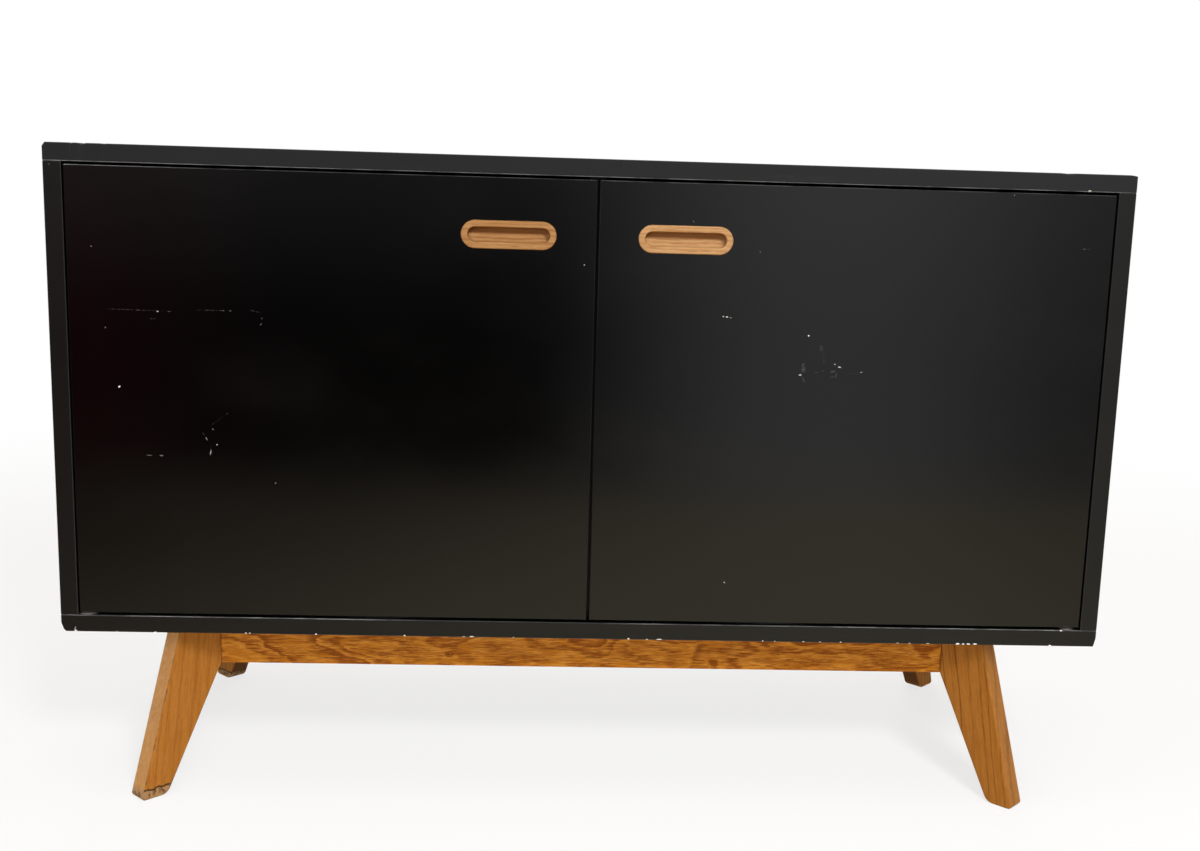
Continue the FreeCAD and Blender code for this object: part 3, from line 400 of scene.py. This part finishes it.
RIGHT_DOOR_MARKS = (
    (131, 347, 2.2, 1.8, 0, 0.5), (134.8, 346.8, 3.4, 1.9, -6, 0.6), (138.5, 346, 2.2, 1.2, -15, 0.3),
    (220, 329.5, 2.2, 2.2, 0, 0.9), (213.4, 288.6, 3.6, 1.9, 5, 0.7), (216.5, 294.5, 7.9, 6, 80, 0.030),
    (216, 299, 7, 4, 75, 0.026), (217.2, 283.7, 7, 1.4, -60, 0.05), (230, 291.6, 7.9, 0.9, 2, 0.03),
    (237, 293.5, 5, 0.9, 25, 0.03), (234, 317, 7.9, 6, -80, 0.016), (237, 307, 14, 2.2, -76, 0.04),
    (249, 300.5, 2.8, 1.2, 10, 0.45), (254, 297.7, 4.0, 1.6, -10, 0.7), (247, 293, 7.9, 3, 12, 0.030),
    (251, 289, 7.9, 2.2, 75, 0.030), (247, 287.5, 7, 1.2, 5, 0.03), (268, 291.5, 14, 0.9, 4, 0.07),
    (277, 293, 3.6, 1.4, 20, 0.25), (502, 426, 12, 1.0, 0, 0.10), (144, 65, 1.8, 1.8, 0, 0.5),
    (166, 414, 3, 1.6, -40, 0.08), (96.8, 442.6, 3, 1.4, -45, 0.10), (423.5, 478.4, 1.4, 1.4, 0, 0.25),
    (519, DOOR_LOW, 16, 1.4, 0, 0.3),
)
LEFT_DOOR_BARENESS = ((-530, 0.6), (-400, 0.14))
RIGHT_DOOR_BARENESS = ((0, 0.18), (530, 0.12))
left_door_lacquer = black_lacquer("lacquer_door_left", DOOR_ROUGHNESS, rubbed=1,
                                  bareness=LEFT_DOOR_BARENESS, scratches=LEFT_DOOR_MARKS)
right_door_lacquer = black_lacquer("lacquer_door_right", DOOR_ROUGHNESS, rubbed=1,
                                   bareness=RIGHT_DOOR_BARENESS, scratches=RIGHT_DOOR_MARKS)
dress(left_door_lacquer, "door_left")
dress(right_door_lacquer, "door_right")

# Finger pulls: solid oak stadiums let into the doors, with a routed hollow for the fingertips.
# The grain runs across, and the wood is pale and only lightly oiled. The upper half of the
# hollow is painted darker, a painted shadow cast by the upper rim.

# Each tone: light wood, middling wood, the late wood of each year, and open pores
PALE_OAK = ((0.460, 0.260, 0.112), (0.350, 0.172, 0.062), (0.215, 0.082, 0.021), (0.110, 0.038, 0.009))
PALER_OAK = ((0.570, 0.350, 0.172), (0.440, 0.240, 0.100), (0.280, 0.120, 0.036), (0.150, 0.058, 0.016))
# Painted shadow for the upper half of the hollow, and how strongly it darkens the wood
HOLLOW_SHADOW_PAINT = (0.20, 0.065, 0.010, 1)
HOLLOW_SHADOW_SHARE = 0.6
KNOT_REACH = (9, 5, 300)


def oak(name, centre, grain, face, tone, pith, ring, figure, band=0.5, wander=10.0, sway=(110, 26, 26),
        torn=20.0, fibre=(18, 1.2), knot=None, rise=0.06):
    """Oiled oak, in millimetres. Year rings lie round a pith line that runs with the grain, at a distance
    across the face and behind it. A ring rises to a dark band, as strong as the figure, that thins out
    into pale wood. The rings wander as the tree grew, over lengths of sway, and their edges are torn
    lengthwise along the fibres. A pin knot may stand somewhere along and across the face."""
    light, middling, late, pore = [(*colour, 1) for colour in tone]
    finish = Finish(name)
    along = Vector(grain).normalized()
    out = Vector(face).normalized()
    turn = Matrix((along, out.cross(along), out)).transposed().to_euler()
    finish.local = finish.stretched((MM, MM, MM), turn, centre)
    fibre_length, fibre_width = fibre

    def fibres(lengths, widths, detail=2.0, rough=0.5):
        size = (lengths * fibre_length, widths * fibre_width, widths * fibre_width)
        return finish.noise(finish.stretched(size, source=finish.local), detail=detail, rough=rough)

    run, width, depth = finish.parts(finish.local)
    tear = finish.times(finish.math("SUBTRACT", fibres(1.6, 1.5, 3.0, 0.6), 0.5), torn)
    shifted = finish.node("CombineXYZ", {0: finish.math("ADD", run, tear), 1: width, 2: depth}).outputs[0]
    bends = finish.parts(finish.noise(finish.stretched(sway, source=shifted), rough=0.45, output="Color"))
    side = finish.math("ADD", finish.math("SUBTRACT", width, pith[0]), finish.times(bends[0], wander))
    deep = finish.math("ADD", finish.math("SUBTRACT", depth, pith[1]), finish.times(bends[1], wander))
    radius = finish.math("SQRT", finish.math("ADD", finish.times(side, side), finish.times(deep, deep)))
    if knot:
        near = finish.length(finish.stretched(KNOT_REACH, centre=(*knot, 0), source=finish.local))
        radius = finish.math("ADD", radius, finish.fade(near, 1.0, 0.0, high=0.6 * ring))
    slow = {"W": finish.math("DIVIDE", radius, 2.3 * ring), "Scale": 1.0, "Detail": 1.0}
    uneven = finish.node("TexNoise", slow, noise_dimensions="1D").outputs["Fac"]
    rings = finish.math("DIVIDE", finish.math("ADD", radius, finish.times(uneven, 1.3 * ring)), ring)
    year = finish.math("FRACT", rings)
    each_year = {"W": finish.math("FLOOR", rings)}
    vigour = finish.node("TexWhiteNoise", each_year, noise_dimensions="1D").outputs["Value"]
    dense = finish.times(finish.fade(year, 0.0, rise), finish.fade(year, band, 0.04),
                         finish.fade(vigour, 0.0, 1.0, low=0.5))
    dashes = finish.times(finish.math("SUBTRACT", fibres(1.0, 1.0, 3.0, 0.6), 0.5), 2.2)
    line = finish.fade(finish.math("ADD", dense, dashes), 0.1, 0.85)
    hairs = finish.fade(fibres(3.0, 0.9), 0.54, 0.72, high=0.12 + 0.3 * figure)
    fleck = fibres(0.7, 0.5, 4.0, 0.65)
    pores = finish.times(finish.fade(fibres(0.18, 0.18, 1.0), 0.60, 0.70),
                         finish.fade(line, 0.1, 0.8, low=0.35))
    colour = finish.blend(finish.fade(fleck, 0.32, 0.68), middling, light)
    colour = finish.blend(finish.fade(fibres(2.4, 4.0), 0.42, 0.64, high=0.9), colour, middling)
    colour = finish.blend(hairs, colour, late)
    colour = finish.blend(finish.times(line, figure), colour, late)
    colour = finish.blend(finish.times(pores, 0.6), colour, pore)
    if knot:
        colour = finish.blend(finish.fade(near, 0.26, 0.12), colour, pore)
    finish.paint(colour)
    finish.set(Specular_IOR_Level=0.08, Roughness=finish.fade(fleck, 0.2, 0.8, low=0.42, high=0.56))
    relief = finish.math("SUBTRACT", fleck, finish.math("ADD", pores, finish.times(line, 0.4)))
    finish.bump(relief, strength=0.18, distance=0.25 * MM)
    return finish


def middle(name):
    low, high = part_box(name)
    return (low + high) / 2


ACROSS = (1, 0, 0)
TO_VIEWER = (0, -1, 0)
# Each pull's side, pith and tone
PULLS = (("left", (60, -30), PALE_OAK), ("right", (-75, -40), PALER_OAK))
for side, pith, tone in PULLS:
    name = f"handle_{side}"
    finish = oak(f"oak_{name}", middle(name), ACROSS, TO_VIEWER, tone, pith, ring=4.0, figure=0.6, band=0.6,
                 wander=8.0, sway=(60, 20, 20), torn=10.0, fibre=(12, 0.7))
    height, depth = finish.parts(finish.local)[1:]
    # Painted shadow: the upper half of the hollow is darkened as if shaded by the upper rim
    in_hollow = finish.fade(depth, 6.0, 3.0)
    upper_half = finish.fade(height, -1.0, 3.0)
    painted_hollow_shadow = finish.times(in_hollow, upper_half, HOLLOW_SHADOW_SHARE)
    finish.paint(finish.blend(painted_hollow_shadow, finish.colour, HOLLOW_SHADOW_PAINT))
    dress(finish, name)

# Hinges: a nickel-plated cup pressed into each door bore, a cranked arm on a pin across the cup,
# and a plate on the side panel, all held by zinc-plated screws. Each door has two.

for side in ("left", "right"):
    for end in ("lower", "upper"):
        dress(nickel, f"hinge_cup_{side}_{end}", f"hinge_arm_{side}_{end}", f"hinge_plate_{side}_{end}")
    dress(nickel, f"hinge_pins_{side}")
    dress(zinc, f"cup_screws_{side}", f"plate_screws_{side}", f"arm_screws_{side}")

# Catches: a small magnet in the front of the divider meets a steel disc in each door,
# and clear rubber bumpers keep the doors from slapping the divider.

RUBBER_CLEAR = (0.80, 0.80, 0.76, 1)
RUBBER_CLOUDY = (0.66, 0.66, 0.60, 1)
RUBBER_CLOUDS_PER_METRE = 500.0


def clear_rubber():
    finish = Finish("clear_rubber")
    haze = finish.noise(finish.place, RUBBER_CLOUDS_PER_METRE, detail=3.0)
    finish.paint(finish.blend(haze, RUBBER_CLEAR, RUBBER_CLOUDY))
    finish.set(Roughness=finish.fade(haze, 0.3, 0.7, low=0.25, high=0.45), Transmission_Weight=0.5, IOR=1.45)
    return finish


dress(clear_rubber(), "door_bumpers")
dress(zinc, "catch_magnets", "strike_disc_left", "strike_disc_right")

# Base frame: four oak rails mitred at clipped corners, with a beech block glued inside each corner
# and screwed up into the bottom panel. The front rail is a flat-sawn board with wild, flamed figure
# and a pin knot, oiled to an amber brown.

# The rails' amber oak is painted lighter than the legs' oak, painted light that makes up for the shade under
# the body
AMBER_OAK_PAINTED_LIGHTER = ((0.475, 0.208, 0.030), (0.300, 0.104, 0.004), (0.158, 0.039, 0.001), (0.085, 0.020, 0.001))
BACKWARD = (0, 1, 0)
front_rail_oak = oak("oak_front_rail", middle("front_rail"), ACROSS, TO_VIEWER, AMBER_OAK_PAINTED_LIGHTER, pith=(-20, -160),
                     ring=9.0, figure=1.0, band=1.5, wander=75.0, sway=(115, 48, 48), torn=13.0,
                     fibre=(13, 1.2), knot=(-152, -14.5), rise=0.3)
dress(front_rail_oak, "front_rail")
back_rail_oak = oak("oak_back_rail", middle("back_rail"), ACROSS, BACKWARD, AMBER_OAK_PAINTED_LIGHTER, pith=(20, -140),
                    ring=11.0, figure=0.8, band=0.8, wander=130.0, sway=(130, 120, 120), torn=34.0,
                    fibre=(24, 1.5))
dress(back_rail_oak, "back_rail")
for side, sign in (("left", -1), ("right", 1)):
    name = f"side_rail_{side}"
    side_rail_oak = oak(f"oak_{name}", middle(name), BACKWARD, (sign, 0, 0), AMBER_OAK_PAINTED_LIGHTER, pith=(18 * sign, -90),
                        ring=9.0, figure=0.7, band=0.7, wander=80.0, sway=(120, 90, 90), torn=34.0,
                        fibre=(24, 1.5))
    dress(side_rail_oak, name)
dress(beech_finish, "corner_blocks")

# Legs: tapered oak planks that stand on the diagonals of the frame and splay outwards.
# Each is drawn against its corner by two bolts with nuts and washers. Their outer edges are bleached
# and nicked, with a painted sheen on the outer face and painted shade on the arrises. The back ones
# have painted shade on the edges that face in, and both left feet are cracked and stained.

HONEY_OAK = ((0.365, 0.150, 0.030), (0.290, 0.110, 0.016), (0.150, 0.043, 0.004), (0.065, 0.017, 0.002))
# Pale outer-face tone: partly bleached wood, partly a painted sheen
BLEACHED_OAK_AND_SHEEN = (0.44, 0.26, 0.115, 1)
RAW_OAK = (0.30, 0.185, 0.090, 1)
CRACK_DARK = (0.020, 0.008, 0.003, 1)
# Dark stain for the cracked feet, also used as painted shade on the back legs' inner edges
FOOT_STAIN_AND_SHADE = (0.050, 0.018, 0.007, 1)
LEG_WANDER = 9.0
MOTTLE = (6, 4, 4)
NICK = (9, 3, 3)
CRACK_WANDER = 7.0
CRACK_WAVE = (9 * MM, 9 * MM, 9 * MM)
STAIN_BLOTCH = (6 * MM, 6 * MM, 8 * MM)


def toned(tone, factor):
    """A tone made lighter or darker."""
    return [tuple(part * factor for part in colour) for colour in tone]


def bleach_sheen_and_shade_edge(finish, outward, share, dirt_and_shade):
    """Pale, mottled wood on the outer edge, partly bleached wood and partly painted sheen, with dirt,
    dark nicks and painted shade along its two arrises.
    """
    faced = finish.towards(outward)
    mottle = finish.noise(finish.stretched(MOTTLE, source=finish.local), detail=4.0, rough=0.7)
    mottled = finish.fade(mottle, 0.3, 0.7, low=0.5)
    # The pale outer face is partly bleached wood and partly painted sheen
    bleached_and_sheen = finish.times(finish.fade(faced, 0.75, 0.97), mottled, share)
    colour = finish.blend(bleached_and_sheen, finish.colour, BLEACHED_OAK_AND_SHEEN)
    arris = finish.times(finish.fade(faced, 0.25, 0.5), finish.fade(faced, 0.95, 0.8))
    knocks = finish.noise(finish.stretched(NICK, source=finish.local), detail=3.0)
    nicks = finish.fade(knocks, 0.46, 0.64, low=0.25)
    # The dark arrises are dirt and nicks, and partly painted shade against the light the rounded arris
    # catches
    finish.paint(finish.blend(finish.times(arris, nicks, dirt_and_shade), colour, CRACK_DARK))


def shade_inner_edge(finish, outward, inner_shade):
    """Painted shade on the edge that faces in under the cabinet."""
    # Painted shade: the inner edge darkened where it faces the dark space under the cabinet
    shaded_inner = finish.times(finish.fade(finish.towards(-outward), 0.6, 0.9), inner_shade)
    finish.paint(finish.blend(shaded_inner, finish.colour, FOOT_STAIN_AND_SHADE))


def crack_foot(finish, face, height):
    """A crack that wanders across both broad faces at a height in millimetres,
    and raw, dirty wood under it."""
    up = finish.math("DIVIDE", finish.parts(finish.place)[2], MM)
    wander = finish.noise(finish.stretched(CRACK_WAVE), detail=3.0)
    path = finish.math("ADD", finish.times(wander, CRACK_WANDER), height - CRACK_WANDER / 2)
    above = finish.math("SUBTRACT", up, path)
    raw = finish.blend(finish.fade(above, 1.5, -1.0, high=0.8), finish.colour, RAW_OAK)
    blotches = finish.noise(finish.stretched(STAIN_BLOTCH), detail=4.0, rough=0.7)
    dirty = finish.times(finish.fade(above, 3.0, -1.0), finish.fade(above, -12.0, -3.0, low=0.35),
                         finish.fade(blotches, 0.46, 0.58), 0.85)
    colour = finish.blend(dirty, raw, FOOT_STAIN_AND_SHADE)
    broad = finish.fade(finish.math("ABSOLUTE", finish.towards(face)), 0.5, 0.8)
    line = finish.fade(finish.math("ABSOLUTE", above), 1.2, 0.5)
    finish.paint(finish.blend(finish.times(line, broad, 0.9), colour, CRACK_DARK))


# Each leg's corner, lean of the grain, pith, ring, strength and width of the dark bands, tone, wear,
# and painted sheen and shade
LEGS = {
    "front_left": dict(side=-1, end=-1, lean=0.12, pith=(-150, 20), ring=9.0, figure=0.28, band=0.6,
                       paleness=0.97, bleach_and_sheen=0.7, dirt_and_shade=0.7, inner_shade=None, crack=11.0),
    "front_right": dict(side=1, end=-1, lean=0.17, pith=(95, -35), ring=9.5, figure=0.7, band=0.34,
                        paleness=0.84, bleach_and_sheen=0.15, dirt_and_shade=0.3, inner_shade=None, crack=None),
    "back_left": dict(side=-1, end=1, lean=0.15, pith=(70, -30), ring=6.0, figure=0.5, band=0.3,
                      paleness=0.95, bleach_and_sheen=0.4, dirt_and_shade=0.3, inner_shade=0.75, crack=9.0),
    "back_right": dict(side=1, end=1, lean=0.15, pith=(-80, 25), ring=6.5, figure=0.5, band=0.3,
                       paleness=0.95, bleach_and_sheen=0.4, dirt_and_shade=0.3, inner_shade=0.75, crack=None),
}
for corner, leg in LEGS.items():
    name = f"leg_{corner}"
    outward = Vector((leg["side"], leg["end"], 0)).normalized()
    face = Vector((-leg["side"], leg["end"], 0)).normalized()
    grain = outward * leg["lean"] - Vector((0, 0, 1))
    finish = oak(f"oak_{name}", middle(name), grain, face, toned(HONEY_OAK, leg["paleness"]), leg["pith"],
                 leg["ring"], leg["figure"], leg["band"], LEG_WANDER)
    bleach_sheen_and_shade_edge(finish, outward, leg["bleach_and_sheen"], leg["dirt_and_shade"])
    if leg["inner_shade"]:
        shade_inner_edge(finish, outward, leg["inner_shade"])
    if leg["crack"]:
        crack_foot(finish, face, leg["crack"])
    dress(finish, name)
dress(zinc, "leg_bolts", "leg_nuts", "leg_washers", "frame_screws")

# Floor: a pale studio floor that keeps the cabinet's shadow and runs out into white.
# The glossy doors mirror it dimmer towards the left, and it throws back little light.

FLOOR_RADIUS = 7
FLOOR_PALE = (0.88, 0.87, 0.85, 1)
FLOOR_BOUNCE = (0.24, 0.14, 0.06, 1)
FLOOR_MIRRORED = (0.78, 0.70, 0.51, 1)
FLOOR_MIRRORED_DIM = (0.16, 0.13, 0.09, 1)
FLOOR_SHADE = 0.26
WHITE = (1, 1, 1, 1)


def rays(tree):
    """Ones for rays from the camera, for mirrored rays, and for rays through glass."""
    path = tree.nodes.new("ShaderNodeLightPath")
    return [path.outputs[kind] for kind in ("Is Camera Ray", "Is Glossy Ray", "Is Transmission Ray")]


def show_instead(finish, shader):
    """Give a finish this shader in place of its usual surface."""
    finish.tree.links.new(shader.outputs[0], finish.tree.nodes["Material Output"].inputs["Surface"])
    finish.tree.nodes.remove(finish.surface)


bpy.ops.object.select_all(action="DESELECT")
bpy.ops.mesh.primitive_circle_add(vertices=96, radius=FLOOR_RADIUS, fill_type="NGON", location=(0, 0, 0))
floor = bpy.context.object
floor.name = "floor"
finish = Finish("floor_pale")
to_eye, mirrored, through = rays(finish.tree)
diffuse = finish.node("BsdfDiffuse", {"Color": finish.blend(to_eye, FLOOR_BOUNCE, FLOOR_PALE)})
across, back = finish.parts(finish.place)[:2]
slope = finish.fade(finish.math("ADD", across, finish.times(back, 0.6)), -1.9, -0.15)
ramp = finish.times(slope, finish.fade(across, 0.5, 1.1, low=1.0, high=0.65))
mirror_colour = finish.blend(ramp, FLOOR_MIRRORED_DIM, FLOOR_MIRRORED)
glow = finish.node("Emission", {"Color": finish.blend(mirrored, WHITE, mirror_colour), "Strength": 1.0})
paleness = finish.fade(finish.length(finish.place), 0.9, 2.6, low=1 - FLOOR_SHADE)
seen = finish.greatest([finish.times(to_eye, paleness), mirrored, through])
show_instead(finish, finish.node("MixShader", {0: seen, 1: diffuse.outputs[0], 2: glow.outputs[0]}))
floor.data.materials.append(finish.material)

# Studio light: a warm, even light all round with white behind it, a small lamp from the upper right,
# broad ones overhead, at the left and behind, and a low strip that lights the oak base.

AMBIENT_WARM = (1, 0.90, 0.77, 1)
AMBIENT_LEVEL = 0.36

world = bpy.data.worlds.new("studio")
bpy.context.scene.world = world
world.use_nodes = True
tree = world.node_tree
ambient = tree.nodes["Background"]
ambient.inputs["Color"].default_value = AMBIENT_WARM
ambient.inputs["Strength"].default_value = AMBIENT_LEVEL
white = tree.nodes.new("ShaderNodeBackground")
white.inputs["Color"].default_value = WHITE
white.inputs["Strength"].default_value = 1.0
shown_white, *others = rays(tree)
for ray in others:
    add = tree.nodes.new("ShaderNodeMath")
    add.operation = "ADD"
    add.use_clamp = True
    tree.links.new(shown_white, add.inputs[0])
    tree.links.new(ray, add.inputs[1])
    shown_white = add.outputs[0]
mix = tree.nodes.new("ShaderNodeMixShader")
tree.links.new(shown_white, mix.inputs[0])
tree.links.new(ambient.outputs[0], mix.inputs[1])
tree.links.new(white.outputs[0], mix.inputs[2])
tree.links.new(mix.outputs[0], tree.nodes["World Output"].inputs["Surface"])


def soft_light(name, location, size, power, target=(0, 0, 0.35), height=None, spread=180):
    """A soft box, square unless it has a height, that throws its light within a spread in degrees."""
    bpy.ops.object.light_add(type="AREA", location=location)
    lamp = bpy.context.object
    lamp.name = name
    lamp.data.shape = "RECTANGLE"
    lamp.data.size = size
    lamp.data.size_y = height or size
    lamp.data.spread = math.radians(spread)
    lamp.data.energy = power
    lamp.rotation_euler = (Vector(target) - lamp.location).to_track_quat("-Z", "Y").to_euler()
    lamp.visible_glossy = False


soft_light("key", (0.6, -2.4, 1.95), size=0.5, power=60)
soft_light("overhead", (-0.2, -0.3, 2.6), size=2.2, power=22)
soft_light("fill", (-0.8, -2.6, 0.7), size=1.2, power=14)
soft_light("base", (0.0, -2.3, 0.20), size=2.0, power=3.2, target=(0, -0.15, 0.05), height=0.3, spread=30)
soft_light("back", (0.5, 2.6, 1.1), size=1.4, power=26)

# Graded card: a sheet just behind the camera, which shows only as a reflection in glossy surfaces.
# It is bright on the right and above, dark on the left, and wine red at the far left.

CARD_PLACE = (0, -1.75, 0.87)
CARD_SIZE = (16, 1.7, 1)
CARD_GREY = (0.97, 0.98, 1.0, 1)
CARD_WINE = (0.09, 0.004, 0.010, 1)

bpy.ops.object.select_all(action="DESELECT")
bpy.ops.mesh.primitive_plane_add(size=1, location=CARD_PLACE, rotation=(math.radians(90), 0, 0))
card = bpy.context.object
card.name = "graded_card"
card.scale = CARD_SIZE
bpy.ops.object.transform_apply(location=True, rotation=True, scale=True)
for ray in ("camera", "diffuse", "transmission", "shadow", "volume_scatter"):
    setattr(card, f"visible_{ray}", False)
finish = Finish("graded_card")
places = finish.parts(finish.place)
across = places[0]
up = places[2]
bright_side = finish.fade(across, -0.15, 0.5, high=0.63)
bright_side = finish.times(bright_side, finish.fade(across, 0.6, 1.2, low=1.0, high=0.36))
level = finish.math("ADD", bright_side, finish.fade(up, 0.3, 0.75, high=0.16))
level = finish.math("ADD", level, finish.fade(up, 0.8, 1.4, high=0.7))
grey = finish.node("Emission", {"Color": CARD_GREY, "Strength": level})
wine = finish.node("Emission", {"Color": CARD_WINE, "Strength": finish.fade(across, -0.6, -1.1)})
show_instead(finish, finish.node("AddShader", {0: grey.outputs[0], 1: wine.outputs[0]}))
card.data.materials.append(finish.material)

# Camera: just under the height of the top and left of the middle, tipped down and not quite level.
# The view is shifted to frame the cabinet as in the photo.

CAMERA_PLACE = (-0.0364, -1.6344, 0.6638)
CAMERA_ANGLES = (79.969, -1.701, -2.383)

camera_data = bpy.data.cameras.new("camera")
camera = bpy.data.objects.new("camera", camera_data)
bpy.context.scene.collection.objects.link(camera)
camera_data.sensor_width = 36
camera_data.lens = 42.09
camera_data.shift_x = -0.0184
camera_data.shift_y = 0.0064
camera.location = CAMERA_PLACE
camera.rotation_euler = [math.radians(angle) for angle in CAMERA_ANGLES]
bpy.context.scene.camera = camera
bpy.context.scene.view_settings.view_transform = "Standard"
